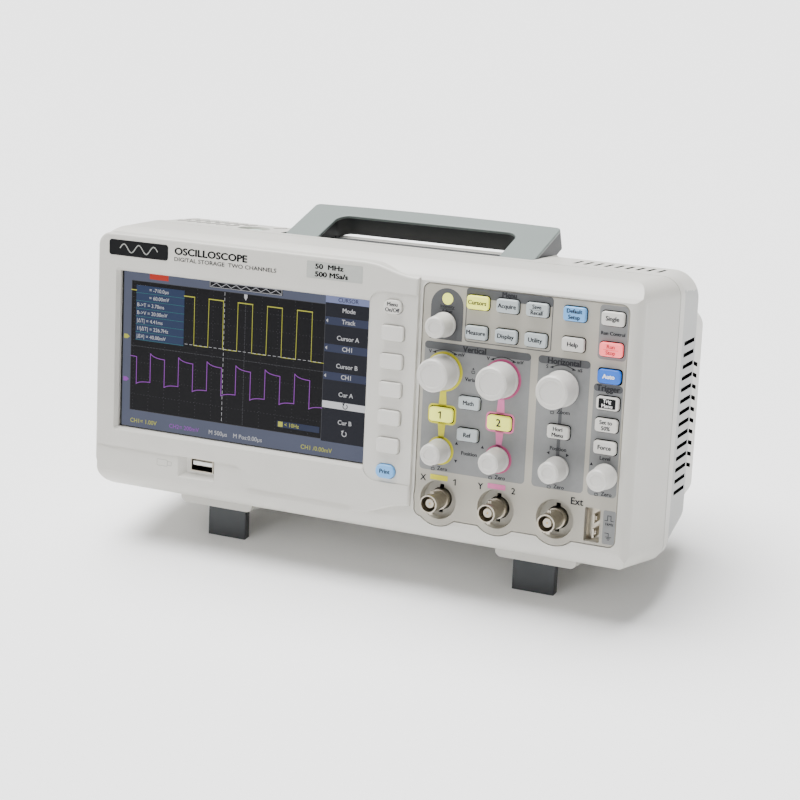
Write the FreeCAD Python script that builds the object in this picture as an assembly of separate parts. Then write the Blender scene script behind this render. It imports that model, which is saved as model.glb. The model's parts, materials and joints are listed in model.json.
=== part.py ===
"""Bench oscilloscope with a seven-inch display, as separate sub-parts.

Casing frame: X to the right, Y back from the face of the control panel, Z up from the
casing's underside, millimetres.  The finished parts are then leaned back on the tilt legs,
so that the leg tips and the rear feet stand on Z = 0.
"""
import FreeCAD, Part
import math
import os

V = FreeCAD.Vector

# ---- driving dimensions ------------------------------------------------------------------
CASE_HALF = 161.5          # half the casing's width
FRONT_RIGHT = 155.0        # right edge of the front face, before the side flares out
CASE_TOP = 148.2
BEZEL_DEPTH = 38.5         # front face to parting line
PARTING_GAP = 0.6
SHELL_BACK = 74.0          # rear edge of the shell's full-size part
HUMP_BACK = 112.0
CORE_BACK = 120.0
WALL = 2.5
FRONT_WALL = 3.0
PLATE_FRONT = -2.0         # front of the raised display surround
PANEL_FRONT = 0.3          # front of the control panel
PANEL_BACK = 4.3
BOARD_FRONT = 8.5
BOARD_THICK = 1.6

SCREEN = (-148.0, 6.0, 36.7, 124.5)
SCREEN_FRONT = 2.0
SOFT_PLATE = (7.0, 36.0, 30.0, 130.5)
PANEL = (37.0, 149.0, 14.5, 137.5)
COLUMN_1, COLUMN_2, COLUMN_3, COLUMN_4 = 50.6, 83.2, 116.0, 141.3
BNC_Z = 24.7
BNC_BULGE = 14.0
BNC_BARREL = 4.8
USB_RECESS = (-107.5, -84.0, 14.0, 25.8)
USB_PORT = (-100.5, -86.0, 18.0, 25.4)
PROBE_RECESS = (132.0, 140.5, 16.0, 33.5)

PRESS = 0.9                # travel of a key, knob or the power key
FIT_GAP = 0.3              # gap round a key in its hole
SHAFT_RADIUS = 3.0
BORE_GAP = 0.05

HANDLE_REST = 20.9         # slope of the folded handle, degrees
HANDLE_PIVOT = (51.7, 141.3)
HANDLE_HALF = 75.0
HANDLE_REACH = 42.0
ARM_WIDTH = 20.5
GRIP_WIDTH = 11.0
CAP_THICK = 1.6

LEG_X = 93.9
LEG_WIDTH = 24.1
LEG_THICK = 4.8
LEG_PIVOT = (33.15, -4.2)
LEG_TIP = -24.7
PAD_X = 97.2
PAD_WIDTH = 46.0
PAD_BOTTOM = -7.0
REAR_FOOT_X = 98.0
REAR_FOOT = (98.0, 118.0)
REAR_CONTACT = 112.0       # where the foot's bevel starts
LEAN = math.degrees(math.atan((PAD_BOTTOM - LEG_TIP) / (REAR_CONTACT - LEG_PIVOT[0])))

# name: (x, z, width, height, corner radius, on the control panel?)
KEYS = {
    "menu_toggle_key": (21.0, 123.0, 10.5, 7.5, 3.7, False),
    "print_key": (20.6, 36.0, 11.0, 7.4, 3.6, False),
    "cursors_key": (68.0, 130.2, 12.0, 7.0, 1.6, True),
    "acquire_key": (84.4, 130.2, 12.0, 7.0, 1.6, True),
    "save_recall_key": (100.6, 130.2, 12.0, 7.0, 1.6, True),
    "measure_key": (68.0, 114.8, 12.0, 7.0, 1.6, True),
    "display_key": (84.4, 114.8, 12.0, 7.0, 1.6, True),
    "utility_key": (100.6, 114.8, 12.0, 7.0, 1.6, True),
    "default_setup_key": (120.7, 130.3, 12.1, 7.2, 1.6, True),
    "help_key": (120.7, 115.0, 12.0, 7.0, 1.6, True),
    "single_key": (140.9, 130.2, 12.0, 7.0, 1.6, True),
    "run_stop_key": (140.9, 114.8, 12.0, 7.0, 1.6, True),
    "auto_key": (140.8, 101.3, 12.3, 7.2, 2.2, True),
    "trigger_menu_key": (140.9, 87.8, 11.9, 6.8, 1.6, True),
    "set_level_key": (140.9, 76.7, 11.9, 6.8, 1.6, True),
    "force_key": (140.9, 65.4, 11.9, 6.8, 1.6, True),
    "channel_1_key": (COLUMN_1, 70.1, 13.0, 7.5, 1.8, True),
    "channel_2_key": (COLUMN_2, 70.1, 13.0, 7.5, 1.8, True),
    "math_key": (66.0, 78.1, 11.7, 6.6, 1.4, True),
    "ref_key": (66.0, 61.4, 11.7, 6.6, 1.4, True),
    "horizontal_menu_key": (COLUMN_3 - 0.4, 69.9, 11.8, 7.0, 1.6, True),
}
SOFTKEY_PITCH = 14.84
for number in range(5):
    KEYS["softkey_%d" % (number + 1)] = (21.4, 109.3 - number * SOFTKEY_PITCH, 13.0, 8.0, 1.8, False)
POWER_KEY = (-96.0, 54.5)  # x, y on the top

# name: (x, z, base radius, tip radius, tip's y)
KNOBS = {
    "intensity": (49.9, 117.0, 6.5, 5.6, -13.2),
    "channel_1_scale": (COLUMN_1, 92.5, 9.3, 8.6, -15.0),
    "channel_2_scale": (COLUMN_2, 92.5, 9.3, 8.6, -15.0),
    "timebase": (COLUMN_3, 92.2, 9.3, 8.6, -15.0),
    "channel_1_position": (COLUMN_1, 51.0, 6.5, 5.6, -13.2),
    "channel_2_position": (COLUMN_2, 51.0, 6.5, 5.6, -13.2),
    "horizontal_position": (COLUMN_3, 51.0, 6.5, 5.6, -13.2),
    "trigger_level": (COLUMN_4 + 0.7, 51.0, 6.5, 5.6, -13.2),
}
KNOB_BACK = -1.0
SHAFT_FRONT = -9.0
SHAFT_BACK = 7.2


# ---- small helpers -----------------------------------------------------------------------
def box(x0, x1, y0, y1, z0, z1):
    return Part.makeBox(x1 - x0, y1 - y0, z1 - z0, V(x0, y0, z0))


def rod(x, z, radius, y0, y1):
    """Cylinder running back along Y."""
    return Part.makeCylinder(radius, y1 - y0, V(x, y0, z), V(0, 1, 0))


def pin(x0, x1, y, z, radius):
    """Cylinder running along X."""
    return Part.makeCylinder(radius, x1 - x0, V(x0, y, z), V(1, 0, 0))


def rounded_wire(x0, x1, z0, z1, radius, y):
    """Rounded rectangle in the plane Y = y, always with the same eight edges."""
    k = radius * (1 - math.sqrt(0.5))
    corners = [
        (V(x0 + radius, y, z0), V(x0 + k, y, z0 + k), V(x0, y, z0 + radius)),
        (V(x0, y, z1 - radius), V(x0 + k, y, z1 - k), V(x0 + radius, y, z1)),
        (V(x1 - radius, y, z1), V(x1 - k, y, z1 - k), V(x1, y, z1 - radius)),
        (V(x1, y, z0 + radius), V(x1 - k, y, z0 + k), V(x1 - radius, y, z0)),
    ]
    edges = []
    for this, following in zip(corners, corners[1:] + corners[:1]):
        edges.append(Part.Arc(*this).toShape())
        edges.append(Part.makeLine(this[2], following[0]))
    return Part.Wire(edges)


def slab(x0, x1, z0, z1, radius, y0, y1):
    """Rounded rectangle carried back from y0 to y1."""
    return Part.Face(rounded_wire(x0, x1, z0, z1, radius, y0)).extrude(V(0, y1 - y0, 0))


def tapered(front, back):
    """Solid between two rounded rectangles, each (x0, x1, z0, z1, radius, y)."""
    return Part.makeLoft([rounded_wire(*front), rounded_wire(*back)], True, True)


def prism_x(points, x0, x1):
    """Closed outline of (y, z) points carried along X."""
    corners = [V(x0, y, z) for y, z in points]
    return Part.Face(Part.makePolygon(corners + corners[:1])).extrude(V(x1 - x0, 0, 0))


def fuse(shapes):
    whole = shapes[0]
    if len(shapes) > 1:
        whole = whole.fuse(shapes[1:])
    return whole.removeSplitter()


def edges_at(shape, test):
    """Edges whose middle point passes the test."""
    chosen = []
    for edge in shape.Edges:
        middle = edge.valueAt((edge.FirstParameter + edge.LastParameter) / 2)
        if test(middle, edge):
            chosen.append(edge)
    return chosen


def inset(outline, amount):
    x0, x1, z0, z1, radius, y = outline
    return (x0 + amount, x1 - amount, z0 + amount, z1 - amount, max(radius - amount, 1.0), y)


def mirrored(shape):
    return [shape, shape.mirror(V(0, 0, 0), V(1, 0, 0))]


# ---- front bezel -------------------------------------------------------------------------
BEZEL_FRONT_RECT = (-CASE_HALF, FRONT_RIGHT, 1.8, CASE_TOP - 0.6, 10.0, 0.0)
PARTING_RECT = (-CASE_HALF, CASE_HALF, 0.0, CASE_TOP, 10.5, BEZEL_DEPTH)


def display_surround():
    """Raised plate round the display: its top edge steps down beside the control panel."""
    y = PLATE_FRONT
    left, right, low, high = -CASE_HALF, 35.0, 11.0, 145.0
    r = 7.5
    k = r * (1 - math.sqrt(0.5))
    high_right, low_right = 139.6, 19.0

    def curve(poles):
        spline = Part.BezierCurve()
        spline.setPoles([V(px, y, pz) for px, pz in poles])
        return spline.toShape()

    edges = [
        Part.makeLine(V(left, y, low + r), V(left, y, high - r)),
        Part.Arc(V(left, y, high - r), V(left + k, y, high - k), V(left + r, y, high)).toShape(),
        Part.makeLine(V(left + r, y, high), V(3.0, y, high)),
        curve([(3.0, high), (16.0, high), (20.0, high_right), (right, high_right)]),
        Part.makeLine(V(right, y, high_right), V(right, y, low_right)),
        curve([(right, low_right), (22.0, low_right), (14.0, low), (1.0, low)]),
        Part.makeLine(V(1.0, y, low), V(left + r, y, low)),
        Part.Arc(V(left + r, y, low), V(left + k, y, low + k), V(left, y, low + r)).toShape(),
    ]
    plate = Part.Face(Part.Wire(edges)).extrude(V(0, 8.0, 0))
    rim = edges_at(plate, lambda m, e: abs(m.y - y) < 0.01)
    plate = plate.makeFillet(1.5, rim)
    return plate.cut(lower_ledge(y))


def lower_ledge(y):
    """The band under the display stands a little further back, up to an S-shaped step."""
    depth = 0.8
    left, low = -CASE_HALF - 5.0, 0.0
    corners = [(left, low), (left, 26.0), (-70.5, 26.0)]
    spline = Part.BezierCurve()
    spline.setPoles([V(px, y - 1, pz) for px, pz in
                     [(-70.5, 26.0), (-65.5, 26.0), (-66.5, 14.6), (-60.5, 14.6)]])
    points = [V(px, y - 1, pz) for px, pz in corners]
    tail = [V(-60.5, y - 1, 14.6), V(0.0, y - 1, 14.6), V(0.0, y - 1, low), points[0]]
    edges = [Part.makeLine(a, b) for a, b in zip(points, points[1:])]
    edges.append(spline.toShape())
    edges += [Part.makeLine(a, b) for a, b in zip(tail, tail[1:])]
    return Part.Face(Part.Wire(edges)).extrude(V(0, 1 + depth, 0))


def brow_profile():
    """Side outline of the bezel: upright face, hollow brow above it, rounded lower edge."""
    y_end = BEZEL_DEPTH
    brow_low, brow_high = V(0, 1.6, 140.6), V(0, 14.0, CASE_TOP + 0.1)
    edges = [
        Part.makeLine(V(0, 0, 12.0), V(0, 0, 138.6)),
        Part.makeLine(V(0, 0, 138.6), brow_low),
        Part.Arc(brow_low, V(0, 6.6, 144.6), brow_high).toShape(),
        Part.makeLine(brow_high, V(0, y_end, CASE_TOP + 0.1)),
        Part.makeLine(V(0, y_end, CASE_TOP + 0.1), V(0, y_end, -0.1)),
        Part.makeLine(V(0, y_end, -0.1), V(0, 13.0, 1.2)),
        Part.Arc(V(0, 13.0, 1.2), V(0, 3.6, 4.6), V(0, 0, 12.0)).toShape(),
    ]
    face = Part.Face(Part.Wire(edges))
    face.translate(V(-CASE_HALF - 5, 0, 0))
    return face.extrude(V(2 * CASE_HALF + 10, 0, 0))


def plan_profile():
    """Outline from above: the front face turns into the flared right side with a soft corner."""
    round_start = V(FRONT_RIGHT - 5.2, 0, -20)
    round_end = V(FRONT_RIGHT + 0.9, 5.8, -20)
    edges = [
        Part.makeLine(V(-CASE_HALF - 5, 0, -20), round_start),
        Part.Arc(round_start, V(FRONT_RIGHT - 1.0, 1.5, -20), round_end).toShape(),
        Part.makeLine(round_end, V(CASE_HALF + 5, 60, -20)),
        Part.makeLine(V(CASE_HALF + 5, 60, -20), V(-CASE_HALF - 5, 60, -20)),
        Part.makeLine(V(-CASE_HALF - 5, 60, -20), V(-CASE_HALF - 5, 0, -20)),
    ]
    return Part.Face(Part.Wire(edges)).extrude(V(0, 0, 200))


def bezel_cavity():
    end = BEZEL_DEPTH + 1.0
    back = inset(PARTING_RECT, WALL)[:5] + (end,)
    hollow = tapered(inset(BEZEL_FRONT_RECT, WALL), back)
    profile = prism_x([(FRONT_WALL, 13.0), (FRONT_WALL, 135.5), (15.5, CASE_TOP - WALL),
                       (end + 1, CASE_TOP - WALL), (end + 1, WALL), (14.0, 4.2)],
                      -CASE_HALF, CASE_HALF)
    return hollow.common(profile)


def panel_outline(grow, y0, y1):
    """Control-panel outline: a rectangle with a round bulge at each input socket."""
    x0, x1, z0, z1 = PANEL
    shapes = [slab(x0 - grow, x1 + grow, z0 - grow, z1 + grow, 4.0 + grow, y0, y1)]
    for x in (COLUMN_1, COLUMN_2, COLUMN_3):
        shapes.append(rod(x, BNC_Z, BNC_BULGE + grow, y0, y1))
    return fuse(shapes)


def foot_pads(y0, y1):
    """Moulded pads under the casing, each with the pocket its tilt leg folds into."""
    pads = []
    for x in (-PAD_X, PAD_X):
        half = PAD_WIDTH / 2
        pad = slab(x - half, x + half, PAD_BOTTOM, 4.0, 3.5, 24.0, 62.0)
        leg_x = math.copysign(LEG_X, x)
        reach = LEG_WIDTH / 2 + 0.4
        pocket = box(leg_x - reach, leg_x + reach, LEG_PIVOT[0] - LEG_THICK / 2 - 0.3, 60.0,
                     PAD_BOTTOM - 1, LEG_PIVOT[1] + LEG_THICK / 2 + 0.4)
        pads.append(pad.cut(pocket).common(box(x - 40, x + 40, y0, y1, -20, 4.0)))
    return pads


def leg_pin_cut():
    reach = LEG_WIDTH / 2 + 3.0
    return [pin(x - reach, x + reach, LEG_PIVOT[0], LEG_PIVOT[1], 1.2) for x in (-LEG_X, LEG_X)]


def key_hole(name):
    x, z, w, h, r, on_panel = KEYS[name]
    g = FIT_GAP
    return slab(x - w / 2 - g, x + w / 2 + g, z - h / 2 - g, z + h / 2 + g, r + g, -6.0, 6.0)


def make_front_bezel():
    blank = tapered(BEZEL_FRONT_RECT, PARTING_RECT).common(brow_profile())
    blank = blank.common(plan_profile())
    pads = foot_pads(20.0, BEZEL_DEPTH)
    bezel = blank.fuse([display_surround()]).cut(bezel_cavity())
    bezel = bezel.fuse([p.cut(bezel_cavity()) for p in pads]).removeSplitter()
    x0, x1, z0, z1 = SCREEN
    tools = [tapered((x0 - 1.6, x1 + 1.6, z0 - 1.6, z1 + 1.6, 1.8, PLATE_FRONT - 0.01),
                     (x0, x1, z0, z1, 0.5, PLATE_FRONT + 2.4)),
             slab(x0, x1, z0, z1, 0.5, PLATE_FRONT + 2.3, 9.0)]
    tools.append(panel_outline(0.25, -1.0, FRONT_WALL + 0.01))
    x0, x1, z0, z1 = SOFT_PLATE
    tools.append(slab(x0, x1 + 4, z0, z1, 7.0, PLATE_FRONT - 1, PLATE_FRONT + 0.5))
    x0, x1, z0, z1 = USB_RECESS
    tools.append(tapered((x0, x1, z0, z1, 0.6, PLATE_FRONT + 0.7),
                         (x0 + 4, x1 - 1.2, z0 + 2.6, z1, 0.6, 2.0)))
    x0, x1, z0, z1 = USB_PORT
    tools.append(slab(x0 - 0.2, x1 + 0.2, z0 - 0.2, z1 + 0.2, 0.5, 0.0, 9.0))
    tools += [key_hole(name) for name in KEYS if not KEYS[name][5]]
    tools += leg_pin_cut()
    return bezel.cut(tools)


# ---- control panel -----------------------------------------------------------------------
def make_control_panel():
    plate = panel_outline(0.0, PANEL_FRONT, FRONT_WALL)
    rim = edges_at(plate, lambda m, e: abs(m.y - PANEL_FRONT) < 0.01)
    plate = plate.makeFillet(0.6, rim)
    flange = panel_outline(1.5, FRONT_WALL, PANEL_BACK)
    cups = [rod(x, BNC_Z, 12.0, FRONT_WALL, 6.6) for x in (COLUMN_1, COLUMN_2, COLUMN_3)]
    panel = fuse([plate, fuse([flange] + cups).common(bezel_cavity())])
    tools = []
    for x in (COLUMN_1, COLUMN_2, COLUMN_3):
        cup = Part.makeCone(10.3, 9.6, 4.6, V(x, 0.0, BNC_Z), V(0, 1, 0))
        tools += [cup, rod(x, BNC_Z, 6.0, 0.0, 8.0)]
        tools.append(box(x - 1.2, x + 1.2, 0.0, 8.0, BNC_Z - 7.6, BNC_Z + 7.6))
    for x, z, base, tip, front in KNOBS.values():
        tools.append(rod(x, z, SHAFT_RADIUS + 0.45, -1.0, 8.0))
    tools += [key_hole(name) for name in KEYS if KEYS[name][5]]
    x0, x1, z0, z1 = PROBE_RECESS
    tools.append(slab(x0, x1, z0, z1, 0.6, 0.0, 8.0))
    return panel.cut(tools)


# ---- rear housing ------------------------------------------------------------------------
SHELL_START = BEZEL_DEPTH + PARTING_GAP
SHELL_RECTS = [
    (-CASE_HALF, CASE_HALF, 0.0, CASE_TOP, 10.5, SHELL_START),
    (-CASE_HALF, CASE_HALF, 0.6, CASE_TOP - 0.1, 10.5, 45.6),
    (-CASE_HALF + 0.8, CASE_HALF - 0.8, 1.4, CASE_TOP - 0.5, 10.5, 46.0),
    (-CASE_HALF + 2.3, CASE_HALF - 2.3, 8.0, CASE_TOP - 1.0, 14.0, SHELL_BACK),
]
HUMP_RECTS = [
    (-159.0, 159.0, 20.0, 128.5, 9.0, 66.0),
    (-155.5, 155.5, 22.5, 124.5, 9.0, 96.0),
    (-148.3, 148.3, 26.5, 119.0, 9.0, HUMP_BACK),
]
CORE_RECTS = [
    (-124.0, 124.0, 4.5, 134.0, 7.0, 60.0),
    (-118.0, 118.0, 6.0, 130.0, 7.0, CORE_BACK),
]
HOOD_RECTS = [                 # under the folded handle's bar
    (-78.6, 78.6, 122.0, CASE_TOP - 0.7, 3.0, 60.0),
    (-77.8, 77.8, 122.0, CASE_TOP - 1.0, 3.0, 81.6),
]
SIDE_SLOT_PITCH = 6.05


def stack(rects, amount, first, last):
    """Lofts through the rectangles, inset by amount, with the ends moved to first and last."""
    rects = [inset(rect, amount) for rect in rects]
    rects[0] = rects[0][:5] + (rects[0][5] + first,)
    rects[-1] = rects[-1][:5] + (rects[-1][5] + last,)
    return [tapered(a, b) for a, b in zip(rects, rects[1:])]


def handle_point(s, n):
    """Point of the folded handle: s along its arms from the pivot, n square to its face."""
    a = math.radians(HANDLE_REST)
    y = HANDLE_PIVOT[0] + s * math.cos(a) - n * math.sin(a)
    return (y, HANDLE_PIVOT[1] + s * math.sin(a) + n * math.cos(a))


def handle_bay(grow):
    """Sloping bay that the folded handle lies over; grow is the thickness of its walls."""
    floor = -4.6 - grow
    front = HANDLE_PIVOT[0] - 6.2 - grow
    a = math.radians(HANDLE_REST)
    foot = handle_point(0.0, floor)
    low = (front, foot[1] - (foot[0] - front) * math.tan(a))
    high = handle_point(38.0, floor)
    outline = [low, high, (high[0], 190.0), (front, 190.0)]
    half = HANDLE_HALF + 0.6 + grow
    bay = prism_x(outline, -half, half)
    deep = [handle_point(s, n) for s, n in ((22.4 - grow, floor + 0.1), (22.4 - grow, floor - 2.4),
                                            (46.0, floor - 2.4), (46.0, floor + 0.1))]
    bay = bay.fuse(prism_x(deep, -half, half))     # room for the handle's thicker grip
    y, z = HANDLE_PIVOT
    return bay.fuse(pin(-half, half, y, z, 5.8 + grow))


def side_slots():
    """Rows of vents on both sides: level on the shell, slanted on the hump."""
    slots = []
    for row in range(14):
        z = 112.5 - row * SIDE_SLOT_PITCH
        slots.append(box(150.0, 170.0, 52.6, 71.6, z - 1.1, z + 1.1))
        if 2 <= row <= 11:
            slant = prism_x([(73.5, z - 1.4), (89.0, z - 5.6), (89.0, z - 3.4), (73.5, z + 0.8)],
                            148.0, 170.0)
            slots.append(slant)
    return [copy for slot in slots for copy in mirrored(slot)]


def top_slots():
    slots = []
    for column in range(9):
        x = 97.0 + column * 5.75
        slots.append(box(x - 1.0, x + 1.0, 54.0, 66.5, CASE_TOP - 14, CASE_TOP + 4))
    for column in range(11):
        x = -150.0 + column * 6.4
        slanted = box(-1.0, 1.0, -4.6, 4.6, CASE_TOP - 14, CASE_TOP + 4)
        slanted.rotate(V(0, 0, 0), V(0, 0, 1), -28)
        for y in (57.5, 67.0):
            slot = slanted.copy()
            slot.translate(V(x, y, 0))
            if math.hypot(x - POWER_KEY[0], y - POWER_KEY[1]) > 14.5:
                slots.append(slot)
    return slots


def rear_slots():
    """Two banks of upright vents in the back."""
    slots = []
    for column in range(12):
        x = 30.0 + column * 6.4
        slots.append(box(x - 1.3, x + 1.3, CORE_BACK - 8, CORE_BACK + 4, 62.0, 112.0))
    return slots


INLET = (-92.0, -63.5, 30.0, 52.5)
SCREWS = [(-108.0, 120.0), (108.0, 120.0), (-108.0, 16.0), (108.0, 16.0)]


def make_rear_housing():
    shell = stack(SHELL_RECTS, 0.0, 0.0, 0.0)
    hump = stack(HUMP_RECTS, 0.0, 0.0, 0.0)
    core = stack(CORE_RECTS, 0.0, 0.0, 0.0)
    hood = stack(HOOD_RECTS, 0.0, 0.0, 0.0)
    outer = shell[0].fuse(shell[1:] + hump + core + hood).removeSplitter()
    hollow = stack(SHELL_RECTS, WALL, -1.0, -WALL)
    hollow += stack(HUMP_RECTS, WALL, 0.0, -WALL)
    hollow += stack(CORE_RECTS, WALL, 0.0, -WALL)
    hollow += stack(HOOD_RECTS, WALL, 0.0, -WALL)
    housing = outer.cut(hollow)
    end = SHELL_START
    tongue = tapered(inset(PARTING_RECT, WALL + 0.9)[:5] + (end - 2.5,),
                     inset(PARTING_RECT, WALL + 0.4)[:5] + (end + 1.0,))
    tongue = tongue.cut(tapered(inset(PARTING_RECT, WALL + 2.4)[:5] + (end - 3.5,),
                                inset(PARTING_RECT, WALL + 2.4)[:5] + (end + 2.0,)))
    bay_walls = outer.common(handle_bay(WALL))
    housing = housing.fuse([tongue, bay_walls] + foot_pads(SHELL_START, 70.0)).removeSplitter()
    x, y = POWER_KEY
    key_well = Part.makeCylinder(12.5, 9.0, V(x, y, CASE_TOP - 9.5), V(0, 0, 1))
    housing = housing.fuse(key_well.common(outer)).removeSplitter()
    tools = [handle_bay(0.0)] + side_slots() + top_slots() + rear_slots()
    tools.append(Part.makeCone(8.2, 9.4, 6.0, V(x, y, CASE_TOP - 5.5), V(0, 0, 1)))
    tools.append(Part.makeCylinder(6.2, 14.0, V(x, y, CASE_TOP - 12), V(0, 0, 1)))
    x0, x1, z0, z1 = INLET
    tools.append(slab(x0, x1, z0, z1, 1.5, CORE_BACK - 12, CORE_BACK + 2))
    for x, z in SCREWS:
        tools.append(rod(x, z, 1.6, CORE_BACK - 6, CORE_BACK + 1))
        tools.append(rod(x, z, 3.2, CORE_BACK - 1.2, CORE_BACK + 1))
    for side in (-1, 1):
        reach = sorted((side * (HANDLE_HALF - 6), side * (HANDLE_HALF + 4)))
        tools.append(pin(reach[0], reach[1], HANDLE_PIVOT[0], HANDLE_PIVOT[1], 2.0))
    return housing.cut(tools)


# ---- things fixed inside and to the casing -------------------------------------------------
def make_display_module():
    x0, x1, z0, z1 = SCREEN
    glass = slab(x0 + 0.2, x1 - 0.2, z0 + 0.2, z1 - 0.2, 0.4, SCREEN_FRONT, 3.6)
    frame = slab(x0 - 5.0, x1 + 0.0, z0 - 3.5, z1 + 3.0, 1.0, FRONT_WALL + 0.1, 8.0)
    return fuse([glass, frame])


def make_circuit_boards():
    """Key board behind the panel, and the main board on pillars behind it."""
    key_board = box(9.0, 149.0, BOARD_FRONT, BOARD_FRONT + BOARD_THICK, 36.5, 133.0)
    main = box(-140.0, 146.0, 26.0, 27.6, 12.0, 120.0)
    shield = box(40.0, 126.0, 14.0, 26.0, 13.0, 33.0)
    shield = shield.cut([rod(x, BNC_Z, 5.0, 13.0, 24.0) for x in (COLUMN_1, COLUMN_2, COLUMN_3)])
    pillars = [rod(x, z, 3.0, BOARD_FRONT + BOARD_THICK, 26.0) for x, z in
               ((16.0, 44.0), (16.0, 112.0), (142.0, 44.0), (128.0, 112.0))]
    pillars += [rod(x, z, 3.0, 8.0, 26.0) for x, z in ((-140.0, 40.0), (-140.0, 112.0), (-10.0, 112.0))]
    chips = [box(-60.0, -36.0, 27.6, 30.0, 60.0, 84.0), box(0.0, 20.0, 27.6, 29.4, 66.0, 80.0),
             box(60.0, 76.0, 27.6, 29.6, 60.0, 76.0), box(-110.0, -92.0, 27.6, 30.6, 60.0, 78.0)]
    return fuse([key_board, main, shield] + pillars + chips)


def make_power_supply():
    board = box(-128.0, -28.0, 66.0, 67.6, 22.0, 112.0)
    parts = [box(-84.0, -56.0, 67.6, 92.0, 62.0, 90.0),
             rod(-44.0, 50.0, 9.0, 67.6, 94.0), rod(-44.0, 74.0, 6.0, 67.6, 88.0),
             box(-118.0, -112.0, 67.6, 96.0, 60.0, 104.0)]
    posts = [rod(x, z, 3.0, 27.6, 66.0) for x in (-122.0, -34.0) for z in (28.0, 106.0)]
    return fuse([board] + parts + posts)


def make_bnc_connectors():
    """Input sockets: bayonet barrel with two lugs, insulator, contact, and rear nut."""
    sockets = []
    for x in (COLUMN_1, COLUMN_2, COLUMN_3):
        barrel = rod(x, BNC_Z, BNC_BARREL, -11.5, 14.0).cut(rod(x, BNC_Z, 4.05, -12.0, 0.0))
        lugs = Part.makeCylinder(1.0, 12.4, V(x, -7.2, BNC_Z - 6.2), V(0, 0, 1))
        lugs = lugs.cut(rod(x, BNC_Z, 4.4, -12.0, 0.0))
        collar = rod(x, BNC_Z, 5.4, 1.0, 6.6)
        nut = rod(x, BNC_Z, 7.9, 6.6, 9.0)
        insulator = rod(x, BNC_Z, 2.3, -9.6, 0.5).cut(rod(x, BNC_Z, 0.5, -10.0, -2.0))
        sockets.append(fuse([barrel, lugs, collar, nut, insulator]))
    return Part.makeCompound(sockets)


def make_usb_port():
    x0, x1, z0, z1 = USB_PORT
    shell = slab(x0, x1, z0, z1, 0.4, 1.2, 15.0)
    shell = shell.cut(box(x0 + 0.6, x1 - 0.6, 1.0, 13.5, z0 + 0.6, z1 - 0.6))
    tongue = box(x0 + 1.4, x1 - 1.4, 2.2, 13.6, z0 + 3.4, z0 + 5.3)
    return fuse([shell, tongue])


def make_probe_terminals():
    """Two metal loops for a probe tip and its earth clip, on an insulating base."""
    x0, x1, z0, z1 = PROBE_RECESS
    base = slab(x0 - 1.6, x1 + 1.6, z0 - 1.6, z1 + 1.6, 1.0, PANEL_BACK, 7.0)
    parts = [base.cut(slab(x0, x1, z0, z1, 0.6, 4.0, 5.8))]
    middle = (x0 + x1) / 2 + 1.4
    for z in (z0 + 5.0, z1 - 5.0):
        lug = box(middle - 0.45, middle + 0.45, -1.4, 6.0, z - 2.3, z + 2.3)
        parts.append(lug.cut(pin(middle - 1, middle + 1, 0.9, z, 1.1)))
    return fuse(parts)


def make_power_inlet():
    """Mains inlet socket in the back, with its three blades, and the data socket beside it."""
    x0, x1, z0, z1 = INLET
    back = CORE_BACK - WALL
    body = slab(x0 + 0.2, x1 - 0.2, z0 + 0.2, z1 - 0.2, 1.4, back - 16.0, CORE_BACK)
    rim = slab(x0 - 3.0, x1 + 3.0, z0 - 2.0, z1 + 2.0, 2.0, CORE_BACK, CORE_BACK + 1.6)
    socket = slab(x0 + 2.2, x1 - 2.2, z0 + 3.2, z1 - 3.2, 3.0, back - 13.5, CORE_BACK + 2)
    middle, height = (x0 + x1) / 2, (z0 + z1) / 2
    blades = [box(middle + dx - 1.0, middle + dx + 1.0, back - 14.0, CORE_BACK - 6.5,
                  height + dz - 2.0, height + dz + 2.0) for dx, dz in ((-7, -2), (0, 2), (7, -2))]
    return fuse([fuse([body, rim]).cut(socket)] + blades)


def make_rear_feet(ground_cut):
    feet = []
    for side in (-1, 1):
        x = side * REAR_FOOT_X
        foot = box(x - 9.0, x + 9.0, REAR_FOOT[0], REAR_FOOT[1], PAD_BOTTOM, 5.8)
        foot = foot.makeFillet(2.0, edges_at(foot, lambda m, e: abs(e.Length - 12.8) < 0.01))
        feet.append(foot.cut([ground_cut] + stack(CORE_RECTS, 0.0, 0.0, 0.0)))
    return Part.makeCompound(feet)


def make_case_screws():
    screws = []
    for x, z in SCREWS:
        head = rod(x, z, 2.9, CORE_BACK - 1.2, CORE_BACK - 0.2)
        head = head.cut([box(x - 1.8, x + 1.8, CORE_BACK - 0.8, CORE_BACK, z - 0.35, z + 0.35),
                         box(x - 0.35, x + 0.35, CORE_BACK - 0.8, CORE_BACK, z - 1.8, z + 1.8)])
        screws.append(fuse([head, rod(x, z, 1.5, CORE_BACK - 10.0, CORE_BACK - 1.2)]))
    return Part.makeCompound(screws)


def make_hinge_pins():
    """Steel pins of the handle and of the two tilt legs."""
    pins = [pin(*sorted((side * (HANDLE_HALF - 5), side * (HANDLE_HALF + 3))), *HANDLE_PIVOT, 2.0)
            for side in (-1, 1)]
    reach = LEG_WIDTH / 2 + 2.5
    pins += [pin(x - reach, x + reach, *LEG_PIVOT, 1.2) for x in (-LEG_X, LEG_X)]
    return Part.makeCompound(pins)


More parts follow.
